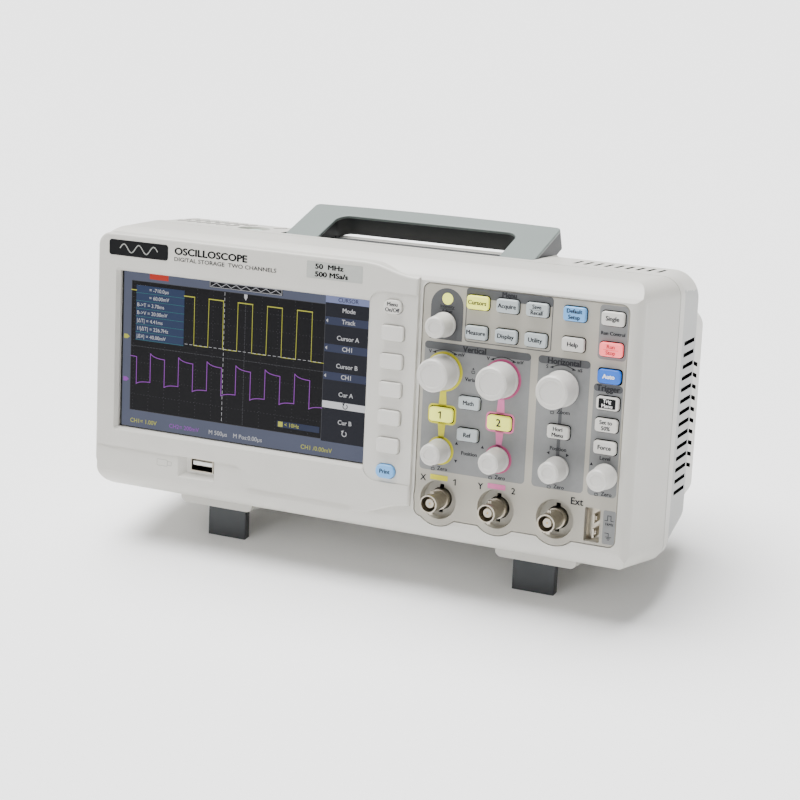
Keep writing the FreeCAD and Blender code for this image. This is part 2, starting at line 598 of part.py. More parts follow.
# ---- moving parts --------------------------------------------------------------------------
def make_key(name):
    """Key cap with a softened front, a flange that keeps it in, and a stem to its switch."""
    x, z, w, h, r, on_panel = KEYS[name]
    front = PANEL_FRONT - 2.3 if on_panel else PLATE_FRONT - 1.3
    wall_back = PANEL_BACK if on_panel else FRONT_WALL
    cap = slab(x - w / 2, x + w / 2, z - h / 2, z + h / 2, r, front, wall_back + 0.5)
    cap = cap.makeFillet(0.8, edges_at(cap, lambda m, e: abs(m.y - front) < 0.01))
    flange = slab(x - w / 2 - 1, x + w / 2 + 1, z - h / 2 - 1, z + h / 2 + 1, r + 1,
                  wall_back + 0.3, wall_back + 1.2)
    stem = rod(x, z, 1.6, wall_back + 1.0, BOARD_FRONT - PRESS - 0.4)
    return fuse([cap, flange, stem])


def make_power_key():
    x, y = POWER_KEY
    low = CASE_TOP - 10.5
    cap = Part.makeCylinder(5.8, CASE_TOP - 1.6 - low, V(x, y, low), V(0, 0, 1))
    cap = cap.makeFillet(1.2, edges_at(cap, lambda m, e: m.z > CASE_TOP - 1.7))
    flange = Part.makeCylinder(7.4, 1.0, V(x, y, low - 1.0), V(0, 0, 1))
    return fuse([cap, flange])


def make_shaft(name):
    x, z = KNOBS[name][:2]
    return fuse([rod(x, z, SHAFT_RADIUS, SHAFT_FRONT, SHAFT_BACK),
                 rod(x, z, 4.4, PANEL_BACK + 0.6, SHAFT_BACK)])


def make_knob(name):
    """Turned knob: a lipped skirt, a slight taper and a shallow dish in its face."""
    x, z, base, tip, front = KNOBS[name]
    back = KNOB_BACK
    outline = [(0, back), (base, back), (base, back - 1.4), (base - 0.35, back - 1.8),
               (tip, front + 0.9), (tip - 0.9, front), (tip - 2.3, front),
               (tip - 2.7, front + 0.35), (0, front + 0.35)]
    points = [V(x + px, py, z) for px, py in outline]
    face = Part.Face(Part.makePolygon(points + points[:1]))
    body = face.revolve(V(x, 0, z), V(0, 1, 0), 360)
    if body.Volume < 0:
        body.reverse()
    bore = rod(x, z, SHAFT_RADIUS + BORE_GAP, SHAFT_FRONT - 0.3, back + 1)
    return body.cut(bore)


def handle_outline(x_outer, x_inner, s_top, s_inner, s_low):
    """U-shaped outline in the plane of the handle, bowed along its far edge."""
    r, q = 3.0, 7.0
    c = 1 - math.sqrt(0.5)
    bow = 1.6

    def at(x, s):
        return V(x, s, 0)

    edges = []
    right = [at(x_inner, s_low), at(x_outer, s_low), at(x_outer, s_top - r)]
    edges += [Part.makeLine(a, b) for a, b in zip(right, right[1:])]
    edges.append(Part.Arc(right[-1], at(x_outer - r * c, s_top - r * c),
                          at(x_outer - r, s_top)).toShape())
    edges.append(Part.Arc(at(x_outer - r, s_top), at(0, s_top + bow),
                          at(-x_outer + r, s_top)).toShape())
    edges.append(Part.Arc(at(-x_outer + r, s_top), at(-x_outer + r * c, s_top - r * c),
                          at(-x_outer, s_top - r)).toShape())
    left = [at(-x_outer, s_top - r), at(-x_outer, s_low), at(-x_inner, s_low),
            at(-x_inner, s_inner - q)]
    edges += [Part.makeLine(a, b) for a, b in zip(left, left[1:])]
    edges.append(Part.Arc(left[-1], at(-x_inner + q * c, s_inner - q * c),
                          at(-x_inner + q, s_inner)).toShape())
    edges.append(Part.makeLine(at(-x_inner + q, s_inner), at(x_inner - q, s_inner)))
    edges.append(Part.Arc(at(x_inner - q, s_inner), at(x_inner - q * c, s_inner - q * c),
                          at(x_inner, s_inner - q)).toShape())
    edges.append(Part.makeLine(at(x_inner, s_inner - q), right[0]))
    return Part.Wire(edges)


def place_handle(shape):
    """From handle coordinates (x, s, n) to the casing frame, folded."""
    shape.rotate(V(0, 0, 0), V(1, 0, 0), HANDLE_REST)
    shape.translate(V(0, HANDLE_PIVOT[0], HANDLE_PIVOT[1]))
    return shape


def make_carry_handle():
    inner = HANDLE_HALF - ARM_WIDTH
    s_inner = HANDLE_REACH - GRIP_WIDTH
    top = 5.0 - CAP_THICK
    wire = handle_outline(HANDLE_HALF, inner, HANDLE_REACH, s_inner, 0.0)
    frame = Part.Face(wire).extrude(V(0, 0, top + 4.0))
    frame.translate(V(0, 0, -4.0))
    grip = frame.common(box(-80, 80, s_inner - 8.0, 60, -4.0, 0.0))
    grip.translate(V(0, 0, -2.5))
    bosses = [pin(*sorted((side * inner, side * HANDLE_HALF)), 0.0, 0.3, 4.3) for side in (-1, 1)]
    bosses = [boss.common(box(-80, 80, -10, 2, -4.0, top)) for boss in bosses]
    holes = [pin(*sorted((side * (HANDLE_HALF - 5.4), side * 80)), 0.0, 0.0, 2.0 + BORE_GAP)
             for side in (-1, 1)]
    return place_handle(fuse([frame, grip] + bosses).cut(holes))


def make_handle_grip():
    """Grey cover that faces the handle."""
    wire = handle_outline(HANDLE_HALF, HANDLE_HALF - ARM_WIDTH, HANDLE_REACH,
                          HANDLE_REACH - GRIP_WIDTH, 0.0)
    cap = Part.Face(wire).extrude(V(0, 0, CAP_THICK))
    cap = cap.makeFillet(0.7, edges_at(cap, lambda m, e: m.z > CAP_THICK - 0.01))
    cap.translate(V(0, 0, 5.0 - CAP_THICK))
    return place_handle(cap)


def make_tilt_leg(x, ground_cut):
    y, z = LEG_PIVOT
    half, thick = LEG_WIDTH / 2, LEG_THICK / 2
    leg = box(x - half, x + half, y - thick, y + thick, LEG_TIP - 1.0, z)
    leg = leg.makeFillet(0.6, edges_at(leg, lambda m, e: abs(e.Length - (z - LEG_TIP + 1.0)) < 0.01))
    leg = fuse([leg, pin(x - half, x + half, y, z, thick)])
    return leg.cut([pin(x - half - 1, x + half + 1, y, z, 1.2 + BORE_GAP), ground_cut])


# ---- assembly --------------------------------------------------------------------------------
def ground_block():
    """Everything below the plane that the tilted instrument stands on."""
    a = math.radians(LEAN)
    slope = math.tan(a)
    y0, y1 = -60.0, 200.0
    z0 = PAD_BOTTOM + (y0 - REAR_CONTACT) * slope
    z1 = PAD_BOTTOM + (y1 - REAR_CONTACT) * slope
    return prism_x([(y0, z0), (y1, z1), (y1, -150.0), (y0, -150.0)], -200.0, 200.0)


def make_parts():
    ground = ground_block()
    parts = {
        "front_bezel": make_front_bezel(),
        "control_panel": make_control_panel(),
        "rear_housing": make_rear_housing(),
        "display_module": make_display_module(),
        "circuit_boards": make_circuit_boards(),
        "power_supply": make_power_supply(),
        "bnc_connectors": make_bnc_connectors(),
        "usb_port": make_usb_port(),
        "probe_terminals": make_probe_terminals(),
        "power_inlet": make_power_inlet(),
        "rear_feet": make_rear_feet(ground),
        "case_screws": make_case_screws(),
        "hinge_pins": make_hinge_pins(),
        "carry_handle": make_carry_handle(),
        "handle_grip": make_handle_grip(),
        "tilt_leg_left": make_tilt_leg(-LEG_X, ground),
        "tilt_leg_right": make_tilt_leg(LEG_X, ground),
        "power_key": make_power_key(),
    }
    for name in KEYS:
        parts[name] = make_key(name)
    for name in KNOBS:
        parts[name + "_shaft"] = make_shaft(name)
        parts[name + "_knob"] = make_knob(name)
    return parts


PARTS = make_parts()
for shape in PARTS.values():
    shape.rotate(V(0, 0, 0), V(1, 0, 0), -LEAN)
BOXES = [s.optimalBoundingBox(False) for s in PARTS.values()]
low = V(min(b.XMin for b in BOXES), min(b.YMin for b in BOXES), min(b.ZMin for b in BOXES))
high = V(max(b.XMax for b in BOXES), max(b.YMax for b in BOXES), max(b.ZMax for b in BOXES))
SHIFT = V(-(low.x + high.x) / 2, -(low.y + high.y) / 2, -low.z)

os.makedirs("parts", exist_ok=True)
for name, shape in PARTS.items():
    shape.translate(SHIFT)
    shape.exportStep("parts/%s.step" % name)
print("%d parts, lean %.3f degrees, shift %s, size %s" % (len(PARTS), LEAN, SHIFT, high - low))
for name, shape in PARTS.items():
    if not shape.isValid() or shape.Volume < 1:
        print("check this shape:", name, shape.isValid(), shape.Volume)
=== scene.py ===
import json
import math

import bmesh
import bpy
from mathutils import Matrix, Vector
from mathutils.bvhtree import BVHTree


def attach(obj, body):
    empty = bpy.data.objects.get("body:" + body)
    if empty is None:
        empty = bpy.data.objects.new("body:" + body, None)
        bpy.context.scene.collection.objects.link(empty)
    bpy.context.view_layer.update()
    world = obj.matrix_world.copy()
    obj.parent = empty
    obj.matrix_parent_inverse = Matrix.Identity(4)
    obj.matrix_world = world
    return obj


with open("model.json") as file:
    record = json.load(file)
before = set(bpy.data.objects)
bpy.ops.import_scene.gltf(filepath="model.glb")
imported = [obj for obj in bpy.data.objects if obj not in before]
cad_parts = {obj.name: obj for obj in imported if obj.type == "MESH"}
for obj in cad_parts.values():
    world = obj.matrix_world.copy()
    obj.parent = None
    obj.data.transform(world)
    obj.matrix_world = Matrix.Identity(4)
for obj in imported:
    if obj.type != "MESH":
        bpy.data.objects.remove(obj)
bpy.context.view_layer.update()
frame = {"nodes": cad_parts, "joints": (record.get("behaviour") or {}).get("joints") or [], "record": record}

# ---- the casing's own frame: X right, Y back, Z up, millimetres ----------------------------
JOINTS = {joint["name"]: joint for joint in frame["joints"]}
PRESS_AXIS = Vector(JOINTS["cursors_key_press"]["axis"])
LEAN = math.atan2(-PRESS_AXIS.z, PRESS_AXIS.y)
HANDLE_PIVOT = Vector((0.0, 51.7, 141.3))
HANDLE_REST = math.radians(20.9)
TURN = Matrix.Rotation(-LEAN, 4, "X")
SHIFT = Vector(JOINTS["handle_lift"]["pos_m"]) - (TURN @ HANDLE_PIVOT) / 1000
TO_ROW = Matrix.Translation(SHIFT) @ TURN @ Matrix.Scale(0.001, 4)
FROM_ROW = TO_ROW.inverted()


def front_face(node):
    """(x0, x1, z0, z1, y) of the foremost flat face of a CAD node, in the casing's frame."""
    points = [FROM_ROW @ v.co for v in frame["nodes"][node].data.vertices]
    y = min(p.y for p in points)
    face = [p for p in points if p.y < y + 0.05]
    xs = [p.x for p in face]
    zs = [p.z for p in face]
    return min(xs), max(xs), min(zs), max(zs), y


def middle(node):
    x0, x1, z0, z1, y = front_face(node)
    return (x0 + x1) / 2, (z0 + z1) / 2, y


# ---- materials -----------------------------------------------------------------------------
def linear(code):
    """Hex colour code to linear RGBA."""
    values = [int(code[i:i + 2], 16) / 255 for i in (0, 2, 4)]
    values = [v / 12.92 if v <= 0.04045 else ((v + 0.055) / 1.055) ** 2.4 for v in values]
    return tuple(values) + (1.0,)


def new_material(name, roughness, metallic=0.0):
    material = bpy.data.materials.new(name)
    material.use_nodes = True
    shader = material.node_tree.nodes["Principled BSDF"]
    shader.inputs["Roughness"].default_value = roughness
    shader.inputs["Metallic"].default_value = metallic
    return material, shader


def add_variation(material, shader, code, spread, patch, grain, bump):
    """Slight colour drift over patches (mm) and a moulded grain (mm) as bump."""
    nodes, links = material.node_tree.nodes, material.node_tree.links
    place = nodes.new("ShaderNodeTexCoord")
    drift = nodes.new("ShaderNodeTexNoise")
    drift.inputs["Scale"].default_value = 1000.0 / patch
    drift.inputs["Detail"].default_value = 3.0
    ramp = nodes.new("ShaderNodeValToRGB")
    base = linear(code)
    ramp.color_ramp.elements[0].position = 0.3
    ramp.color_ramp.elements[1].position = 0.7
    ramp.color_ramp.elements[0].color = tuple(c * (1 - spread) for c in base[:3]) + (1.0,)
    ramp.color_ramp.elements[1].color = tuple(min(c * (1 + spread), 1.0) for c in base[:3]) + (1.0,)
    links.new(place.outputs["Object"], drift.inputs["Vector"])
    links.new(drift.outputs["Fac"], ramp.inputs["Fac"])
    links.new(ramp.outputs["Color"], shader.inputs["Base Color"])
    fine = nodes.new("ShaderNodeTexNoise")
    fine.inputs["Scale"].default_value = 1000.0 / grain
    fine.inputs["Detail"].default_value = 2.0
    relief = nodes.new("ShaderNodeBump")
    relief.inputs["Strength"].default_value = bump
    relief.inputs["Distance"].default_value = 0.00005
    links.new(place.outputs["Object"], fine.inputs["Vector"])
    links.new(fine.outputs["Fac"], relief.inputs["Height"])
    links.new(relief.outputs["Normal"], shader.inputs["Normal"])


def plastic(name, code, roughness=0.45, spread=0.025, patch=25.0, grain=0.45, bump=0.35):
    material, shader = new_material(name, roughness)
    add_variation(material, shader, code, spread, patch, grain, bump)
    return material


def metal(name, code, roughness=0.28, spread=0.08, patch=2.0, grain=0.2, bump=0.15):
    material, shader = new_material(name, roughness, 1.0)
    add_variation(material, shader, code, spread, patch, grain, bump)
    return material


def lit_plastic(name, code, glow, strength):
    """Translucent key lens with a lamp behind it."""
    material = plastic(name, code, 0.38, 0.02, 6.0, 0.5, 0.15)
    shader = material.node_tree.nodes["Principled BSDF"]
    shader.inputs["Emission Color"].default_value = linear(glow)
    shader.inputs["Emission Strength"].default_value = strength
    return material


def ink(name, code, roughness=0.5, gloss=0.3):
    material = plastic(name, code, roughness, 0.03, 3.0, 0.3, 0.1)
    material.node_tree.nodes["Principled BSDF"].inputs["Specular IOR Level"].default_value = gloss
    return material


def screen_light(name, code, strength=0.8):
    """Lit part of the display: a little of its light varies from cell to cell."""
    material, shader = new_material(name, 0.32)
    shader.inputs["Base Color"].default_value = (0.004, 0.004, 0.005, 1.0)
    shader.inputs["Specular IOR Level"].default_value = 0.12
    nodes, links = material.node_tree.nodes, material.node_tree.links
    place = nodes.new("ShaderNodeTexCoord")
    cells = nodes.new("ShaderNodeTexNoise")
    cells.inputs["Scale"].default_value = 60.0
    ramp = nodes.new("ShaderNodeValToRGB")
    base = linear(code)
    ramp.color_ramp.elements[0].color = tuple(c * 0.9 for c in base[:3]) + (1.0,)
    ramp.color_ramp.elements[1].color = tuple(c * 1.1 for c in base[:3]) + (1.0,)
    links.new(place.outputs["Object"], cells.inputs["Vector"])
    links.new(cells.outputs["Fac"], ramp.inputs["Fac"])
    links.new(ramp.outputs["Color"], shader.inputs["Emission Color"])
    shader.inputs["Emission Strength"].default_value = strength
    return material


CASING = plastic("casing_plastic", "c6c4bd", 0.38)
PANEL = plastic("panel_plastic", "a5a196", 0.46)
KEY_PLAIN = plastic("key_plastic", "cfcdc7", 0.42)
KEY_LENS = plastic("key_lens_plastic", "b2babc", 0.32)
KEY_YELLOW = lit_plastic("key_lit_yellow", "dfe468", "f2f650", 0.8)
KEY_RED = lit_plastic("key_lit_red", "f97f7f", "ff3c4c", 1.0)
KEY_BLUE = plastic("key_blue", "6cabe6", 0.38)
KEY_DEEP_BLUE = plastic("key_deep_blue", "1a68d4", 0.38)
KNOB = plastic("knob_plastic", "c8c6c1", 0.38)
DARK = plastic("handle_charcoal", "26292b", 0.5, 0.08)
BAY = plastic("bay_charcoal", "1a1c1f", 0.5, 0.08)
# painted shade: a darker grey for the middle of the shell's two sides, where less light falls; it is the
# same plastic as the casing
SHELL_SIDE_SHADE = plastic("shell_side_painted_shade", "a2a3a1", 0.42)
GRIP_GREY = plastic("handle_grey", "727b78", 0.42)
LEG_DARK = plastic("leg_charcoal", "34373a", 0.5, 0.06)
NICKEL = metal("nickel", "b5aea0")
STEEL = metal("turned_steel", "a0a0a0", 0.35)
BOARD = plastic("board_green", "1f5a35", 0.35, 0.15, 4.0)
SUPPLY = plastic("supply_parts", "4a4638", 0.45, 0.2, 4.0)
RUBBER = plastic("foot_rubber", "2a2a2a", 0.75, 0.1, 3.0)
SOCKET = plastic("socket_black", "141414", 0.4, 0.1)
GLASS_BLACK = plastic("display_black", "0b0c0f", 0.2, 0.1, 8.0, 0.6, 0.03)
POWER_LENS = lit_plastic("power_lens", "c3dcd0", "9fd6b8", 0.1)
CREAM = plastic("insulator_cream", "ddd2bd", 0.4)
GOLD = metal("gold_contact", "c9a24a")
# painted shadow: near-black used wherever the inside of the casing, its creases and gaps stand in shade
PAINTED_SHADOW = plastic("shadow_black", "050505", 0.9)
PAINTED_SHADOW.node_tree.nodes["Principled BSDF"].inputs["Specular IOR Level"].default_value = 0.05
INK_DARK = ink("ink_dark", "1e1f24")
INK_WHITE = ink("ink_white", "f4f4f2")
INK_BLACK = ink("ink_black", "0c0d0f", 0.3, 0.15)
INK_AREA = ink("ink_area", "7e7f7f")
INK_HEADER = ink("ink_header", "505153")
INK_LINE = ink("ink_line", "a2a19c")
INK_YELLOW = ink("ink_yellow", "cfc832")
INK_PINK = ink("ink_pink", "d673a4")
INK_ROSE = ink("ink_rose", "b34f79")
INK_SILVER = ink("ink_silver", "a9aba6")
INK_RED = ink("ink_red", "b5303a")

NODE_MATERIALS = {
    "front_bezel": CASING, "rear_housing": CASING, "control_panel": PANEL,
    "display_module": GLASS_BLACK, "circuit_boards": BOARD, "power_supply": SUPPLY,
    "bnc_connectors": NICKEL, "usb_port": NICKEL, "probe_terminals": NICKEL,
    "power_inlet": SOCKET, "rear_feet": RUBBER, "case_screws": STEEL, "hinge_pins": STEEL,
    "carry_handle": DARK, "handle_grip": GRIP_GREY, "tilt_leg_left": LEG_DARK,
    "tilt_leg_right": LEG_DARK, "power_key": POWER_LENS, "cursors_key": KEY_YELLOW,
    "channel_1_key": KEY_YELLOW, "channel_2_key": KEY_YELLOW, "run_stop_key": KEY_RED,
    "print_key": KEY_BLUE, "default_setup_key": KEY_BLUE, "auto_key": KEY_DEEP_BLUE,
    "acquire_key": KEY_LENS, "save_recall_key": KEY_LENS, "measure_key": KEY_LENS,
    "display_key": KEY_LENS, "utility_key": KEY_LENS, "math_key": KEY_LENS, "ref_key": KEY_LENS,
}


def material_of(node):
    if node in NODE_MATERIALS:
        return NODE_MATERIALS[node]
    if node.endswith("_knob"):
        return KNOB
    if node.endswith("_shaft"):
        return STEEL
    return KEY_PLAIN


def dress_nodes():
    """Gives every CAD node its material."""
    for name, node in frame["nodes"].items():
        for slot in node.material_slots:
            slot.material = material_of(name)
    darken_inside()


def in_bay(p):
    """Whether a point lies on the walls of the bay under the folded handle."""
    y, z = p.y - HANDLE_PIVOT.y, p.z - HANDLE_PIVOT.z
    up = z * math.cos(HANDLE_REST) - y * math.sin(HANDLE_REST)
    near_pivot = math.hypot(y, z) < 6.3
    return abs(p.x) < 75.8 and -6.5 < y < 31.0 and (up > -4.9 or near_pivot) and p.z < 148.3


# marks on the casing's frame that part its dark faces from its light ones
BEZEL_REAR = 38.4
SHELL_FRONT = 39.05
SHELL_BACK = 74.0
CORE_REAR = 107.0
POWER_KEY_X, POWER_KEY_Y = -96.0, 54.5
SHADOW_SLOT, BAY_SLOT, SHADED_SIDE_SLOT = 1, 2, 3


def darken_inside():
    """Paints shade on the inside of the casing, its vents and parting line, and on the sides of the middle
    shell; colours the bay under the handle charcoal.
    """
    node = frame["nodes"]["rear_housing"]
    for material in (PAINTED_SHADOW, BAY, SHELL_SIDE_SHADE):
        node.data.materials.append(material)
    tree = BVHTree.FromPolygons([v.co for v in node.data.vertices],
                                [p.vertices for p in node.data.polygons])
    turn = TURN.to_3x3().inverted()
    for polygon in node.data.polygons:
        centre = FROM_ROW @ polygon.center
        normal = turn @ polygon.normal
        in_vent = abs(centre.x) > 149.0 and 50.0 < centre.y < 90.0 and 30.0 < centre.z < 116.0
        on_step = abs(centre.y - SHELL_BACK) <= 0.4
        from_key = math.hypot(centre.x - POWER_KEY_X, centre.y - POWER_KEY_Y)
        if in_bay(centre):
            polygon.material_index = BAY_SLOT
        # painted shadow on the inside of the casing and on the walls of the vent slots
        elif centre.y < SHELL_FRONT or in_vent and abs(normal.x) < 0.4 and not on_step:
            polygon.material_index = SHADOW_SLOT
        elif from_key < 11.0 and centre.z > 137.0:
            continue
        elif centre.y > CORE_REAR or centre.z < 0.5:
            continue
        # painted shadow in the parting line and creases: faces that look onto another face within 0.3 mm
        elif tree.ray_cast(polygon.center + polygon.normal * 2e-5, polygon.normal, 0.3)[0]:
            polygon.material_index = SHADOW_SLOT
        # painted shade on the sides of the middle shell, between the bezel and the rear hump
        elif abs(normal.x) > 0.93 and 45.9 < centre.y < 74.5 and abs(centre.x) > 157.0:
            polygon.material_index = SHADED_SIDE_SLOT
    # painted shadow on the bezel's inner faces behind its rear edge
    bezel = frame["nodes"]["front_bezel"].data
    bezel.materials.append(PAINTED_SHADOW)
    for polygon in bezel.polygons:
        if (FROM_ROW @ polygon.center).y > BEZEL_REAR:
            polygon.material_index = SHADOW_SLOT


# ---- thin printed or lit shapes that face forward ------------------------------------------
PRINT_DEPTH = 0.05


def prism(mesh, points, y0, y1):
    """Adds a closed prism along Y; points are (x, z)."""
    front = [mesh.verts.new((x, y0, z)) for x, z in points]
    back = [mesh.verts.new((x, y1, z)) for x, z in points]
    mesh.faces.new(front)
    mesh.faces.new(back[::-1])
    for i in range(len(points)):
        j = (i + 1) % len(points)
        mesh.faces.new((front[i], back[i], back[j], front[j]))


class Sheet:
    """Flat shapes of one colour on the casing's front, gathered into one piece."""

    def __init__(self, y):
        self.y = y
        self.mesh = bmesh.new()

    def polygon(self, points):
        """Polygon given anticlockwise as seen from the front."""
        prism(self.mesh, points, self.y - PRINT_DEPTH, self.y)

    def polygon_either(self, points):
        """Polygon whose points may run either way round."""
        area = sum(xa * zb - xb * za for (xa, za), (xb, zb) in zip(points, points[1:] + points[:1]))
        self.polygon(points if area > 0 else points[::-1])

    def rect(self, x0, x1, z0, z1, radius=0.0):
        if radius <= 0:
            self.polygon([(x0, z0), (x1, z0), (x1, z1), (x0, z1)])
            return
        self.polygon(rounded(x0, x1, z0, z1, radius))

    def frame(self, x0, x1, z0, z1, radius, width):
        """Outline of a rounded rectangle."""
        outer = rounded(x0, x1, z0, z1, radius)
        inner = rounded(x0 + width, x1 - width, z0 + width, z1 - width, max(radius - width, 0.05))
        for i in range(len(outer)):
            j = (i + 1) % len(outer)
            self.polygon([outer[i], outer[j], inner[j], inner[i]])

    def ring(self, x, z, inner, outer, start=0.0, end=360.0, steps=48):
        angles = [math.radians(start + (end - start) * i / steps) for i in range(steps + 1)]
        for a, b in zip(angles, angles[1:]):
            corners = [(a, inner), (a, outer), (b, outer), (b, inner)]
            self.polygon([(x + r * math.cos(t), z + r * math.sin(t)) for t, r in corners])

    def disc(self, x, z, radius, steps=32):
        angles = [2 * math.pi * i / steps for i in range(steps)]
        self.polygon([(x + radius * math.cos(a), z + radius * math.sin(a)) for a in angles])

    def line(self, points, width):
        for (xa, za), (xb, zb) in zip(points, points[1:]):
            length = math.hypot(xb - xa, zb - za)
            if length < 1e-6:
                continue
            dx, dz = (xb - xa) / length * width / 2, (zb - za) / length * width / 2
            self.polygon([(xa - dx + dz, za - dz - dx), (xb + dx + dz, zb + dz - dx),
                          (xb + dx - dz, zb + dz + dx), (xa - dx - dz, za - dz + dx)])

    def text(self, words, x, z, size, weight=0.0, align="CENTER", stretch=1.0):
        """Words whose capitals are about 0.7 of size high, centred on z; weight thickens them."""
        copies = [(0.0, 0.0)]
        if weight > 0:
            rise = weight * 0.6
            copies = [(-weight, 0.0), (weight, 0.0), (0.0, rise), (0.0, -rise)]
        for i, (along, up) in enumerate(copies):
            self.letters(words, x + along, z + up, size, align, stretch, 0.003 * i)

    def letters(self, words, x, z, size, align, stretch, back):
        curve = bpy.data.curves.new("words", "FONT")
        curve.body = words
        curve.size = size
        curve.align_x = align
        curve.align_y = "CENTER"
        curve.extrude = PRINT_DEPTH / 2
        curve.resolution_u = 3
        holder = bpy.data.objects.new("words", curve)
        bpy.context.scene.collection.objects.link(holder)
        graph = bpy.context.evaluated_depsgraph_get()
        flat = bpy.data.meshes.new_from_object(holder.evaluated_get(graph))
        flat.transform(Matrix(((stretch, 0, 0, x), (0, 0, -1, self.y + back - PRINT_DEPTH / 2),
                               (0, 1, 0, z), (0, 0, 0, 1))))
        self.mesh.from_mesh(flat)
        bpy.data.objects.remove(holder)
        bpy.data.meshes.remove(flat)
        bpy.data.curves.remove(curve)

    def build(self, name, material, body, slot):
        finish_piece(self.mesh, name, material, body)


def rounded(x0, x1, z0, z1, radius, steps=6):
    """Counter-clockwise points of a rounded rectangle."""
    radius = min(radius, (x1 - x0) / 2 - 1e-3, (z1 - z0) / 2 - 1e-3)
    points = []
    centres = [(x1 - radius, z0 + radius, -90), (x1 - radius, z1 - radius, 0),
               (x0 + radius, z1 - radius, 90), (x0 + radius, z0 + radius, 180)]
    for cx, cz, start in centres:
        for i in range(steps + 1):
            a = math.radians(start + 90.0 * i / steps)
            points.append((cx + radius * math.cos(a), cz + radius * math.sin(a)))
    return points


def finish_piece(mesh, name, material, body, smooth=False):
    """Moves a bmesh from the casing's frame to the row frame and makes it a riding piece."""
    bmesh.ops.recalc_face_normals(mesh, faces=mesh.faces)
    data = bpy.data.meshes.new(name)
    mesh.to_mesh(data)
    mesh.free()
    data.transform(TO_ROW)
    data.materials.append(material)
    for polygon in data.polygons:
        polygon.use_smooth = smooth
    piece = bpy.data.objects.new(name, data)
    bpy.context.scene.collection.objects.link(piece)
    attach(piece, body)


